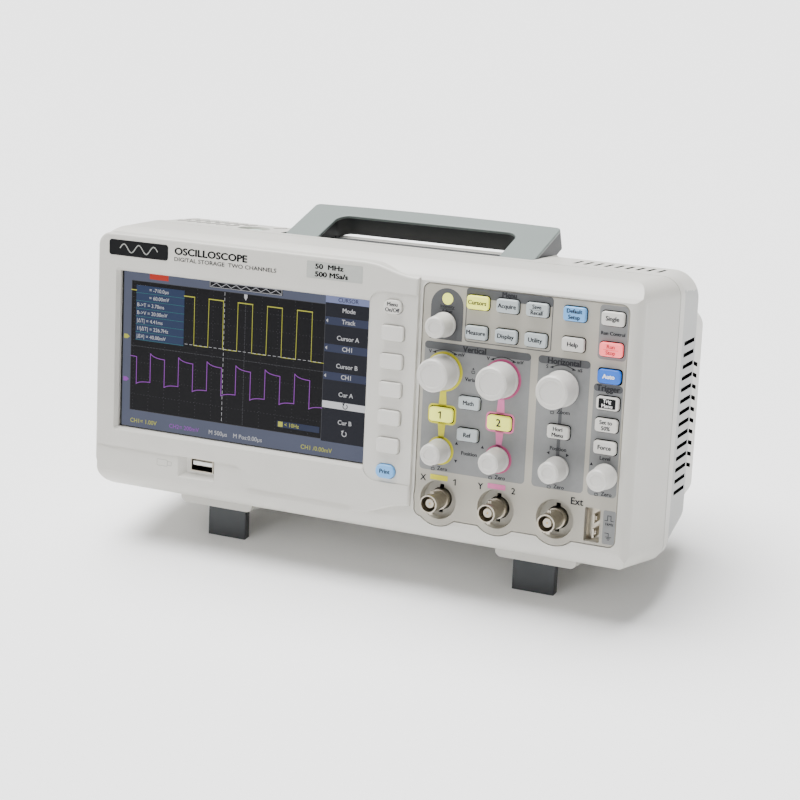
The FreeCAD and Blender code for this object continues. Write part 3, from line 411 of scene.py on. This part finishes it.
# ---- display picture -----------------------------------------------------------------------
def draw_screen():
    """The lit picture; places are measured in millimetres from the middle of the display."""
    x0, x1, z0, z1, face = front_face("display_module")
    cx, cz = (x0 + x1) / 2 - 0.5, (z0 + z1) / 2 - 0.6
    layers = {}

    def layer(name, code, level, strength=0.75):
        sheet = Sheet(face - 0.02 - 0.06 * level)
        layers[name] = (sheet, screen_light("screen_" + name, code, strength))
        return Moved(sheet, cx, cz)

    ground = layer("ground", "646a80", 0, 0.8)
    ground.rect(-75.2, 77.0, -42.4, 44.2)
    graph = layer("graph", "0b0a0c", 1, 0.5)
    graph.rect(-70, 51, -33, 39.5)
    rows = layer("menu_rows", "23252f", 1, 0.7)
    rows.rect(51, 77.2, -34, 40.5)
    header = layer("menu_header", "9aa4d6", 2)
    header.rect(51, 77.2, 40.6, 44.2)
    bars = layer("menu_bars", "414865", 2)
    for z in (31.0, 16.5, 1.6):
        bars.rect(51, 77.2, z - 2.1, z + 2.1)
    box = layer("value_box", "33456a", 3)
    box.rect(-67, -36, 6.6, 37.2)
    frequency = layer("counter_box", "363f5c", 3)
    frequency.rect(24, 50, -30.2, -26.8)
    white_bar = layer("white_bar", "f2f2f6", 2, 0.9)
    white_bar.rect(51, 77.2, -15.7, -12.0)
    white_bar.rect(-67, -59, 29.2, 37.2)

    grid = layer("grid", "6a6a70", 2, 0.55)
    for k in range(-7, 5):
        for i in range(36):
            grid.dot(2.5 + 10.1 * k, 38.5 - 2.0 * i, 0.14)
    for k in range(-4, 4):
        for i in range(60):
            grid.dot(-69.0 + 2.02 * i, 3.2 + 9.05 * k, 0.14)
    for i in range(72):
        grid.dot(2.5, 39.0 - i, 0.2)
    for i in range(120):
        grid.dot(-69.5 + 1.01 * i, 3.2, 0.2)
    grid.line([(-70, 39.5), (51, 39.5), (51, -33), (-70, -33), (-70, 39.5)], 0.25)

    yellow = layer("yellow", "e2e25a", 4)
    trace_yellow(yellow)
    for words, x in (("CH1= 1.00V", -69.5), ("CH1 /0.00mV", 39.0)):
        yellow.text(words, x, -39.0, 3.4, 0.0, "LEFT")
    yellow.polygon([(-74.5, 6.8), (-72.4, 6.8), (-70.8, 8.0), (-72.4, 9.2), (-74.5, 9.2)])
    yellow.rect(24.8, 27.6, -29.9, -27.1)
    yellow.text("< 10Hz", 28.6, -28.5, 3.0, 0.0, "LEFT")
    purple = layer("purple", "b45ad6", 4)
    trace_purple(purple)
    purple.text("CH2= 200mV", -44.0, -39.0, 3.4, 0.0, "LEFT")
    purple.polygon([(-74.5, -17.2), (-72.4, -17.2), (-70.8, -16.0), (-72.4, -14.8), (-74.5, -14.8)])

    white = layer("white", "e6e6ea", 5, 0.8)
    dashes(white)
    white.text("M 500µs", -18.5, -39.0, 3.4, 0.0, "LEFT")
    white.text("M Pos:0.00µs", -3.0, -39.0, 3.4, 0.0, "LEFT")
    white.polygon([(1.5, 39.3), (1.5, 37.6), (2.5, 36.0), (3.5, 37.6), (3.5, 39.3)])
    for words, z in (("Mode", 37.0), ("Track", 31.0), ("Cursor A", 22.2), ("CH1", 16.5),
                     ("Cursor B", 7.3), ("CH1", 1.6), ("Cur A", -7.8), ("Cur B", -22.8)):
        white.text(words, 65.0, z, 3.4, 0.05)
    for z in (31.0, 16.5, 1.6):
        white.polygon([(52.8, z - 1.0), (52.8, z + 1.0), (51.6, z)])
    lines = ("A->T = -710.0µs", "A->V = 60.00mV", "B->T = 3.70ms", "B->V = 20.00mV",
             "|ΔT| = 4.41ms", "1/|ΔT| = 226.7Hz", "|ΔV| = 40.00mV")
    for i, words in enumerate(lines):
        if i < 2:
            white.text(words[5:], -58.6, 35.0 - 4.35 * i, 2.9, 0.0, "LEFT")
        else:
            white.text(words, -66.4, 35.0 - 4.35 * i, 2.9, 0.0, "LEFT")
    turn_icon(white, 65.0, -28.6)
    zigzag(white, -19.0, 24.0, 42.6)
    teal = layer("teal", "3f9a9c", 4, 0.6)
    for i in range(7):
        teal.line([(-67, 33.0 - 4.35 * i), (-36, 33.0 - 4.35 * i)], 0.2)
    dark = layer("dark_text", "23252f", 6)
    dark.text("CURSOR", 64.5, 42.4, 3.1)
    turn_icon(dark, 65.0, -13.8)
    red = layer("red", "e2402f", 3)
    red.rect(-58.5, -46.5, 41.2, 44.2)
    memory = layer("memory_box", "15161c", 1)
    memory.rect(-20.5, 25.0, 40.9, 44.0)
    for name, (sheet, material) in layers.items():
        sheet.build("screen_" + name, material, "housing", "screen")


class Moved:
    """Draws on a sheet with its origin moved to the display's own."""

    def __init__(self, sheet, x, z):
        self.sheet, self.x, self.z = sheet, x, z

    def rect(self, x0, x1, z0, z1):
        self.sheet.rect(x0 + self.x, x1 + self.x, z0 + self.z, z1 + self.z)

    def dot(self, x, z, half):
        self.rect(x - half, x + half, z - half, z + half)

    def polygon(self, points):
        self.sheet.polygon([(x + self.x, z + self.z) for x, z in points])

    def line(self, points, width):
        self.sheet.line([(x + self.x, z + self.z) for x, z in points], width)

    def ring(self, x, z, inner, outer, start, end):
        self.sheet.ring(x + self.x, z + self.z, inner, outer, start, end, 20)

    def text(self, words, x, z, size, weight=0.0, align="CENTER"):
        self.sheet.text(words, x + self.x, z + self.z, size, weight, align)


# the two square waves on the display, in its own millimetres
GRAPH_LEFT, GRAPH_RIGHT = -70.0, 51.0
YELLOW_HIGH, YELLOW_LOW = 34.3, 7.8
YELLOW_PERIOD, YELLOW_WIDTH, YELLOW_FIRST = 18.2, 9.2, -38.7
PURPLE_HIGH, PURPLE_LOW = -2.6, -16.2
PURPLE_PERIOD, PURPLE_WIDTH, PURPLE_FIRST = 18.2, 9.2, -66.0


def trace_yellow(sheet):
    """Square wave of the first channel; the value box hides its start."""
    points = [(-36.0, YELLOW_HIGH)]
    x = YELLOW_FIRST + YELLOW_WIDTH
    while x < GRAPH_RIGHT:
        points += [(x, YELLOW_HIGH), (x + 0.15, YELLOW_LOW)]
        rise = x + YELLOW_PERIOD - YELLOW_WIDTH
        if rise < GRAPH_RIGHT:
            points += [(rise, YELLOW_LOW), (rise + 0.15, YELLOW_HIGH)]
        x += YELLOW_PERIOD
    points.append((GRAPH_RIGHT, YELLOW_LOW))
    for start, end in zip(points, points[1:]):
        level = abs(start[1] - end[1]) < 0.1
        sheet.line([start, end], 0.55 if level and start[1] > 20 else 0.32)
    sheet.line([(GRAPH_LEFT, YELLOW_HIGH), (-67.0, YELLOW_HIGH)], 0.55)


def trace_purple(sheet):
    """Square wave of the second channel, with the droop of an unadjusted probe."""
    overshoot, droop, steps = 2.4, 2.6, 9
    points = [(GRAPH_LEFT, PURPLE_HIGH), (PURPLE_FIRST, PURPLE_HIGH - 0.2)]
    edge = PURPLE_FIRST
    high = False
    while edge < GRAPH_RIGHT:
        span = PURPLE_WIDTH if high else PURPLE_PERIOD - PURPLE_WIDTH
        level, side = (PURPLE_HIGH, 1.0) if high else (PURPLE_LOW, -0.7)
        end = min(edge + span, GRAPH_RIGHT)
        for i in range(steps + 1):
            x = edge + (end - edge) * i / steps
            points.append((x + 0.01, level + side * overshoot * math.exp(-(x - edge) / droop)))
        edge += span
        high = not high
    sheet.line(points, 0.42)


def dashes(sheet):
    """Dashed cursor lines."""
    for i in range(24):
        sheet.line([(-10.5, 39.0 - 3.0 * i), (-10.5, 37.4 - 3.0 * i)], 0.22)
    for i in range(28):
        sheet.line([(-35.0 + 3.07 * i, 8.0), (-33.4 + 3.07 * i, 8.0)], 0.22)


def turn_icon(sheet, x, z):
    """Round arrow that shows which knob the menu listens to."""
    sheet.ring(x, z, 1.05, 1.5, 120.0, 420.0)
    sheet.polygon([(x - 1.9, z + 1.5), (x - 0.2, z + 1.9), (x - 1.0, z + 0.4)])


def zigzag(sheet, x0, x1, z):
    """The whole record in its small box above the graph."""
    teeth = 14
    step = (x1 - x0) / teeth
    points = [(x0 + step * i, z + (0.9 if i % 2 else -0.9)) for i in range(teeth + 1)]
    sheet.line(points, 0.25)
    sheet.line([(x0 - 1, z + 1.4), (x1 + 0.5, z + 1.4), (x1 + 0.5, z - 1.4), (x0 - 1, z - 1.4),
                (x0 - 1, z + 1.4)], 0.2)


# ---- printing on the control panel ---------------------------------------------------------
KEY_LABELS = {
    "menu_toggle_key": ("Menu", "On/Off"), "print_key": ("Print",), "cursors_key": ("Cursors",),
    "acquire_key": ("Acquire",), "save_recall_key": ("Save", "Recall"), "measure_key": ("Measure",),
    "display_key": ("Display",), "utility_key": ("Utility",), "help_key": ("Help",),
    "default_setup_key": ("Default", "Setup"), "single_key": ("Single",),
    "run_stop_key": ("Run", "Stop"), "auto_key": ("Auto",), "set_level_key": ("Set to", "50%"),
    "force_key": ("Force",), "channel_1_key": ("1",), "channel_2_key": ("2",),
    "math_key": ("Math",), "ref_key": ("Ref",), "horizontal_menu_key": ("Hori", "Menu"),
}


def label_keys():
    """The words and digits on the keys' faces; each rides on its key."""
    for name, lines in KEY_LABELS.items():
        x, z, face = middle(name)
        sheet = Sheet(face)
        if lines[0] == "1":
            draw_one(sheet, x, z, 3.9)
        elif len(lines[0]) == 1:
            sheet.text(lines[0], x, z, 5.6, 0.2)
        elif len(lines) == 1:
            sheet.text(lines[0], x, z, 3.2, 0.13, "CENTER", 0.97)
        else:
            sheet.text(lines[0], x, z + 1.45, 2.9, 0.12, "CENTER", 0.97)
            sheet.text(lines[1], x, z - 1.55, 2.9, 0.12, "CENTER", 0.97)
        if name in ("save_recall_key", "run_stop_key"):
            sheet.line([(x - 3.8, z - 0.1), (x + 3.8, z - 0.1)], 0.22)
        colour = INK_WHITE if name == "auto_key" else INK_DARK
        if name == "run_stop_key":
            colour = INK_RED
        sheet.build("label_" + name, colour, name, slot_of(name))
    label_trigger_menu()


def draw_one(sheet, x, z, height):
    """The digit 1, with its flag."""
    w = height * 0.2
    sheet.rect(x - w / 2, x + w / 2, z - height / 2, z + height / 2)
    sheet.polygon_either([(x - w / 2, z + height / 2), (x - w / 2, z + height * 0.28),
                          (x - w * 1.9, z + height * 0.14), (x - w * 1.9, z + height * 0.3)])


def label_trigger_menu():
    """White words on a dark patch."""
    name = "trigger_menu_key"
    x, z, face = middle(name)
    patch = Sheet(face)
    patch.rect(x - 4.5, x + 4.5, z - 2.5, z + 2.5, 0.5)
    patch.build("patch_" + name, INK_BLACK, name, slot_of(name))
    words = Sheet(face - PRINT_DEPTH - 0.01)
    words.text("Trig", x, z + 1.2, 2.6, 0.04)
    words.text("Menu", x, z - 1.25, 2.6, 0.04)
    words.build("label_" + name, INK_WHITE, name, slot_of(name))


def slot_of(node):
    for part in frame["record"]["subparts"]:
        if part["node"] == node:
            return part["material_slot"]
    return None


# how far each layer of print on the panel stands in front of it, so that none coincide
OUTLINE_LEVEL, HEADER_LEVEL, LINK_LEVEL, WORDS_LEVEL, GAP_LEVEL = 0.03, 0.06, 0.09, 0.12, 0.16
KEY_EDGE = 0.8                 # from the edge of a key's flat face to the edge of the key


def key_outline(name):
    x0, x1, z0, z1 = front_face(name)[:4]
    return x0 - KEY_EDGE, x1 + KEY_EDGE, z0 - KEY_EDGE, z1 + KEY_EDGE


def print_panel():
    """Group areas, titles, rings, stripes, words and signs round the keys and knobs."""
    face = front_face("control_panel")[4]
    col1 = middle("channel_1_key")[0]
    col2 = middle("channel_2_key")[0]
    col3 = middle("horizontal_menu_key")[0]
    col4 = middle("force_key")[0]
    area, header, words = Sheet(face), Sheet(face - HEADER_LEVEL), Sheet(face - WORDS_LEVEL)
    groups = [(39.0, 98.2, 40.0, 107.5, "Vertical", 3.9),
              (102.2, 130.2, 40.0, 107.5, "Horizontal", 3.9),
              (132.6, 148.0, 40.0, 97.0, "Trigger", 3.8)]
    for x0, x1, z0, z1, title, band in groups:
        area.rect(x0, x1, z0, z1, 2.2)
        header.rect(x0, x1, z1 - band, z1, 1.9)
        words.text(title, (x0 + x1) / 2 - (1.5 if title == "Vertical" else 0), z1 - band / 2 - 0.2,
                   4.3, 0.2, "CENTER", 0.97)
    area.rect(133.4, 148.4, 109.4, 136.6, 2.0)
    words.text("Run Control", col4, 122.5, 2.5, 0.1)
    arch = [(41.4, 109.0), (59.6, 109.0), (59.6, 126.5)]
    for i in range(1, 18):
        a = math.radians(10 * i)
        arch.append((50.5 + 9.1 * math.cos(a), 126.5 + 9.1 * math.sin(a)))
    arch.append((41.4, 126.5))
    header.polygon(arch)
    header.rect(61.2, 108.4, 132.2, 137.1, 1.2)
    words.text("Menu", 84.6, 135.6, 3.6, 0.18)
    outline = Sheet(face - OUTLINE_LEVEL)
    outline.frame(61.0, 108.6, 109.4, 137.2, 1.8, 0.45)
    outline.build("menu_group_outline", INK_HEADER, "housing", "panel")

    lamp = Sheet(face - WORDS_LEVEL)
    lamp.disc(50.6, 130.2, 3.0)
    lamp.build("intensity_lamp", KEY_YELLOW, "housing", "key_yellow")
    words.text("Intensity", 50.6, 126.2, 2.3, 0.06)
    words.line([(46.3, 125.0), (54.9, 125.0)], 0.2)
    words.text("Adjust", 50.6, 123.8, 2.3, 0.06)

    for name, ring_out in (("scale", 10.4), ("position", 7.5)):
        for channel, colour in ((1, INK_YELLOW), (2, INK_ROSE)):
            x, z = middle("channel_%d_%s_knob" % (channel, name))[:2]
            ring = Sheet(face - WORDS_LEVEL)
            ring.ring(x, z, ring_out - 1.6, ring_out)
            ring.build("ring_%s_%d" % (name, channel), colour, "housing", "panel")
    for channel, colour, x in ((1, INK_YELLOW, col1), (2, INK_PINK, col2)):
        stripe = Sheet(face - WORDS_LEVEL)
        key_z = middle("channel_%d_key" % channel)[1]
        for knob_z in (middle("channel_%d_scale_knob" % channel)[1],
                       middle("channel_%d_position_knob" % channel)[1]):
            stripe.polygon_either([(x - 2.6, key_z), (x + 2.6, key_z), (x + 0.9, knob_z),
                                   (x - 0.9, knob_z)])
        x0, x1, z0, z1 = key_outline("channel_%d_key" % channel)
        stripe.rect(x0 - 1.2, x1 + 1.2, z0 - 1.2, z1 + 1.2, 2.6)
        stripe.rect(x - 5.0, x + 5.0, 35.2, 37.9, 0.3)
        stripe.build("stripe_channel_%d" % channel, colour, "housing", "panel")
    link = Sheet(face - LINK_LEVEL)
    link.rect(col3 - 0.9, col3 + 0.9, 51.0, 92.0)
    link.build("stripe_horizontal", INK_HEADER, "housing", "panel")

    for x, left, right in ((col1, "V", "mV"), (col2, "V", "mV"), (col3, "S", "nS")):
        words.ring(x, 92.4, 11.2, 11.6, 62.0, 118.0, 14)
        for side in (-1, 1):
            words.polygon_either([(x + side * 5.2, 103.0), (x + side * 7.2, 102.0),
                                  (x + side * 5.0, 101.6)])
        words.text(left, x - 8.4, 102.2, 2.6, 0.07)
        words.text(right, x + 9.2, 102.2, 2.6, 0.07)
    words.text("Variable", (col1 + col2) / 2, 90.0, 2.7, 0.07)
    push_icon(words, (col1 + col2) / 2, 94.6)
    words.text("Position", (col1 + col2) / 2, 51.3, 2.8, 0.07)
    words.text("Position", col3, 60.9, 2.8, 0.07)
    words.text("Zoom", col3 + 1.6, 79.9, 2.9, 0.07)
    words.text("Level", col4, 59.6, 2.8, 0.07)
    push_icon(words, col3 - 4.4, 79.6)
    for x in (col1 + 1.6, col2 + 1.6, col3 + 1.6, col4 + 1.9):
        words.text("Zero", x, 41.4, 2.8, 0.07)
        push_icon(words, x - 5.4, 41.2)
    for x, z, turn in ((59.6, 56.0, 0), (59.6, 46.6, 2), (74.2, 56.0, 0), (74.2, 46.6, 2),
                       (col3 - 5.2, 58.4, 1), (col3 + 5.2, 58.4, 3), (133.9, 56.0, 0)):
        arrow(words, x, z, turn)
    draw_one(words, 60.0, 35.4, 3.3)
    for name, x in (("X", 41.6), ("Y", 74.2), ("2", 92.6), ("Ext", 127.4)):
        words.text(name, x, 35.4, 4.6 if name != "Ext" else 5.2, 0.12)
    area.rect(142.0, 148.6, 16.0, 33.4, 1.0)
    square = [(143.0, 28.2), (144.4, 28.2), (144.4, 30.8), (146.2, 30.8), (146.2, 28.2),
              (147.6, 28.2)]
    words.line(square, 0.3)
    words.text("1kHz", 145.3, 26.4, 2.1, 0.05)
    words.line([(143.4, 21.8), (145.3, 21.8), (145.3, 19.8)], 0.3)
    for half, z in ((1.5, 19.8), (0.9, 19.1), (0.4, 18.4)):
        words.line([(145.3 - half, z), (145.3 + half, z)], 0.28)
    area.build("panel_areas", INK_AREA, "housing", "panel")
    header.build("panel_headers", INK_HEADER, "housing", "panel")
    words.build("panel_words", INK_DARK, "housing", "panel")

    # painted shade: a black frame a little larger than each key stands in for the shade in the gap round it
    gaps = Sheet(face - GAP_LEVEL)
    for name in frame["nodes"]:
        if name.endswith("_key") and name not in ("power_key", "menu_toggle_key", "print_key"):
            x0, x1, z0, z1 = key_outline(name)
            gaps.rect(x0 - 0.25, x1 + 0.25, z0 - 0.25, z1 + 0.25, 1.9)
    gaps.build("key_gap_shade", PAINTED_SHADOW, "housing", "panel")


def push_icon(sheet, x, z):
    """Small sign for a knob that can be pushed: a cap over its base."""
    sheet.frame(x - 1.0, x + 1.0, z - 1.2, z + 0.3, 0.4, 0.28)
    sheet.polygon_either([(x - 0.7, z + 0.9), (x + 0.7, z + 0.9), (x, z + 1.9)])


def arrow(sheet, x, z, turn):
    """Small triangle: 0 up, 1 left, 2 down, 3 right."""
    base = [(-0.9, -0.7), (0.9, -0.7), (0.0, 0.9)]
    c, s = math.cos(turn * math.pi / 2), math.sin(turn * math.pi / 2)
    sheet.polygon_either([(x + px * c - pz * s, z + px * s + pz * c) for px, pz in base])


def print_surround():
    """Badge, title and data on the display surround."""
    face = front_face("front_bezel")[4]
    badge = Sheet(face - 0.1)
    badge.rect(-154.2, -116.2, 133.0, 141.6, 1.6)
    badge.build("badge", INK_BLACK, "housing", "casing")
    mark = Sheet(face - 0.17)
    wave = [(-147.0 + 0.6 * i, 137.3 + 2.2 * math.sin(i * math.pi / 8)) for i in range(41)]
    mark.line(wave, 0.55)
    mark.build("badge_wave", INK_SILVER, "housing", "casing")
    words = Sheet(face - 0.05)
    words.text("OSCILLOSCOPE", -112.2, 138.7, 5.3, 0.28, "LEFT", 1.22)
    words.text("DIGITAL STORAGE  TWO CHANNELS", -112.4, 134.4, 3.1, 0.04, "LEFT", 1.22)
    label = Sheet(face - 0.05)
    label.rect(-30.5, 2.6, 133.0, 142.0, 0.6)
    label.build("data_label", INK_SILVER, "housing", "casing")
    data = Sheet(face - 0.11)
    data.text("50  MHz", -25.6, 139.4, 3.7, 0.22, "LEFT", 1.3)
    data.text("500 MSa/s", -25.6, 135.3, 3.7, 0.22, "LEFT", 1.3)
    data.build("data_words", INK_BLACK, "housing", "casing")
    words.build("surround_words", INK_BLACK, "housing", "casing")


PORT_LEDGE = 0.8               # the port's ledge lies this far behind the display surround


def print_port_sign():
    """Memory stick beside the data port."""
    sign = Sheet(front_face("front_bezel")[4] + PORT_LEDGE)
    sign.frame(-121.0, -114.0, 18.6, 22.4, 0.8, 0.3)
    sign.frame(-114.2, -111.4, 19.3, 21.7, 0.2, 0.3)
    sign.build("port_sign", INK_LINE, "housing", "casing")


# ---- small solid details -------------------------------------------------------------------
def turned(mesh, x, z, outline, steps=48):
    """Adds a turned ring or disc about the line along Y at (x, z); outline is (radius, y)."""
    rows = []
    for radius, y in outline:
        row = []
        for i in range(steps):
            a = 2 * math.pi * i / steps
            row.append(mesh.verts.new((x + radius * math.cos(a), y, z + radius * math.sin(a))))
        rows.append(row)
    for a, b in zip(rows, rows[1:]):
        for i in range(steps):
            j = (i + 1) % steps
            mesh.faces.new((a[i], b[i], b[j], a[j]))
    mesh.faces.new(rows[0])
    mesh.faces.new(rows[-1][::-1])


SOCKET_RINGS = [               # name, material, slot, (radius, y) of the outline
    ("insulator", CREAM, "metal",
     [(3.9, -2.0), (3.9, -2.4), (2.4, -2.5), (2.4, -8.9), (2.1, -9.2), (1.1, -9.2)]),
    ("contact", GOLD, "metal", [(0.7, -8.6), (0.7, -9.4), (0.5, -9.5)]),
    # painted shade: a black ring on the floor of each input's recess
    ("recess_shade", PAINTED_SHADOW, "socket", [(7.4, 6.0), (7.4, 5.6), (5.5, 5.5)]),
]


def socket_details():
    """Cream insulator and gold contact in each bayonet input, and a ring of painted shade on the floor round
    it.
    """
    mounts = {mount["name"]: mount for mount in frame["record"]["mounts"]}
    for number, mount in enumerate(("input_1", "input_2", "external_trigger"), 1):
        place = FROM_ROW @ Vector(mounts[mount]["pos_m"])
        for name, material, slot, outline in SOCKET_RINGS:
            mesh = bmesh.new()
            turned(mesh, place.x, place.z, outline)
            finish_piece(mesh, "%s_%d" % (name, number), material, "housing", True)


def port_details():
    """Dark inside and white tongue of the data port."""
    corners = [FROM_ROW @ v.co for v in frame["nodes"]["usb_port"].data.vertices]
    x0, x1 = min(p.x for p in corners), max(p.x for p in corners)
    z0, z1 = min(p.z for p in corners), max(p.z for p in corners)
    for name, material, inset, low, high, y0, y1 in (
            ("port_shadow", PAINTED_SHADOW, 0.7, z0 + 0.7, z1 - 0.7, 7.0, 7.6),
            ("port_tongue", INK_WHITE, 1.3, z0 + 3.6, z0 + 5.6, 1.9, 7.5)):
        mesh = bmesh.new()
        prism(mesh, [(x0 + inset, low), (x1 - inset, low), (x1 - inset, high), (x0 + inset, high)],
              y0, y1)
        finish_piece(mesh, name, material, "housing")


# ---- stage ---------------------------------------------------------------------------------
CAMERA_PLACE = Vector((499.9, -972.0, 295.0))
CAMERA_AZIMUTH = math.radians(25.98)
CAMERA_ELEVATION = math.radians(11.53)
CAMERA_ROLL = math.radians(2.61)
CAMERA_LENS = 95.67


def make_camera():
    """The camera's place is known relative to the casing, so it leans with it."""
    camera = bpy.data.cameras.new("camera")
    camera.lens = CAMERA_LENS
    camera.sensor_width = 36.0
    camera.clip_start = 0.05
    holder = bpy.data.objects.new("camera", camera)
    bpy.context.scene.collection.objects.link(holder)
    flat = Vector((-math.sin(CAMERA_AZIMUTH), math.cos(CAMERA_AZIMUTH), 0.0))
    ahead = flat * math.cos(CAMERA_ELEVATION)
    ahead.z = -math.sin(CAMERA_ELEVATION)
    right = Vector((math.cos(CAMERA_AZIMUTH), math.sin(CAMERA_AZIMUTH), 0.0))
    up = right.cross(ahead)
    level = Matrix((right, up, -ahead)).transposed()
    turn = level @ Matrix.Rotation(CAMERA_ROLL, 3, "Z")
    turn = TURN.to_3x3() @ turn
    holder.matrix_world = Matrix.Translation(TO_ROW @ CAMERA_PLACE) @ turn.to_4x4()
    bpy.context.scene.camera = holder


def make_floor():
    """Pale floor, 6 m on a side."""
    mesh = bmesh.new()
    bmesh.ops.create_grid(mesh, x_segments=8, y_segments=8, size=3.0)
    data = bpy.data.meshes.new("floor")
    mesh.to_mesh(data)
    mesh.free()
    floor = bpy.data.objects.new("floor", data)
    bpy.context.scene.collection.objects.link(floor)
    material, shader = new_material("floor_pale", 0.9)
    add_variation(material, shader, "fbfbfb", 0.01, 400.0, 3.0, 0.05)
    data.materials.append(material)


def area_light(name, place, target, size, power):
    light = bpy.data.lights.new(name, "AREA")
    light.shape = "RECTANGLE"
    light.size, light.size_y = size
    light.energy = power
    holder = bpy.data.objects.new(name, light)
    bpy.context.scene.collection.objects.link(holder)
    holder.location = place
    direction = Vector(target) - Vector(place)
    holder.rotation_euler = direction.to_track_quat("-Z", "Y").to_euler()


def make_lights():
    """White studio, dimmer on the right, with a wide light overhead and a softbox at the left."""
    world = bpy.data.worlds.new("studio")
    bpy.context.scene.world = world
    world.use_nodes = True
    nodes, links = world.node_tree.nodes, world.node_tree.links
    sky = nodes["Background"]
    sky.inputs["Strength"].default_value = 0.5
    place = nodes.new("ShaderNodeTexCoord")
    split = nodes.new("ShaderNodeSeparateXYZ")
    ramp = nodes.new("ShaderNodeValToRGB")
    ramp.color_ramp.elements[0].position = 0.2
    ramp.color_ramp.elements[0].color = (1.0, 1.0, 1.0, 1.0)
    ramp.color_ramp.elements[1].position = 0.95
    ramp.color_ramp.elements[1].color = (0.38, 0.38, 0.39, 1.0)
    links.new(place.outputs["Generated"], split.inputs["Vector"])
    links.new(split.outputs["X"], ramp.inputs["Fac"])
    links.new(ramp.outputs["Color"], sky.inputs["Color"])
    area_light("front_softbox", (-0.9, -1.6, 0.8), (0, 0, 0.08), (0.9, 0.9), 5)
    sun = bpy.data.lights.new("overhead", "SUN")
    sun.energy = 9.0
    sun.angle = math.radians(50.0)
    holder = bpy.data.objects.new("overhead", sun)
    bpy.context.scene.collection.objects.link(holder)
    holder.rotation_euler = (math.radians(-8.0), math.radians(-14.0), 0.0)


dress_nodes()
draw_screen()
label_keys()
print_panel()
print_surround()
print_port_sign()
socket_details()
port_details()
make_camera()
make_floor()
make_lights()
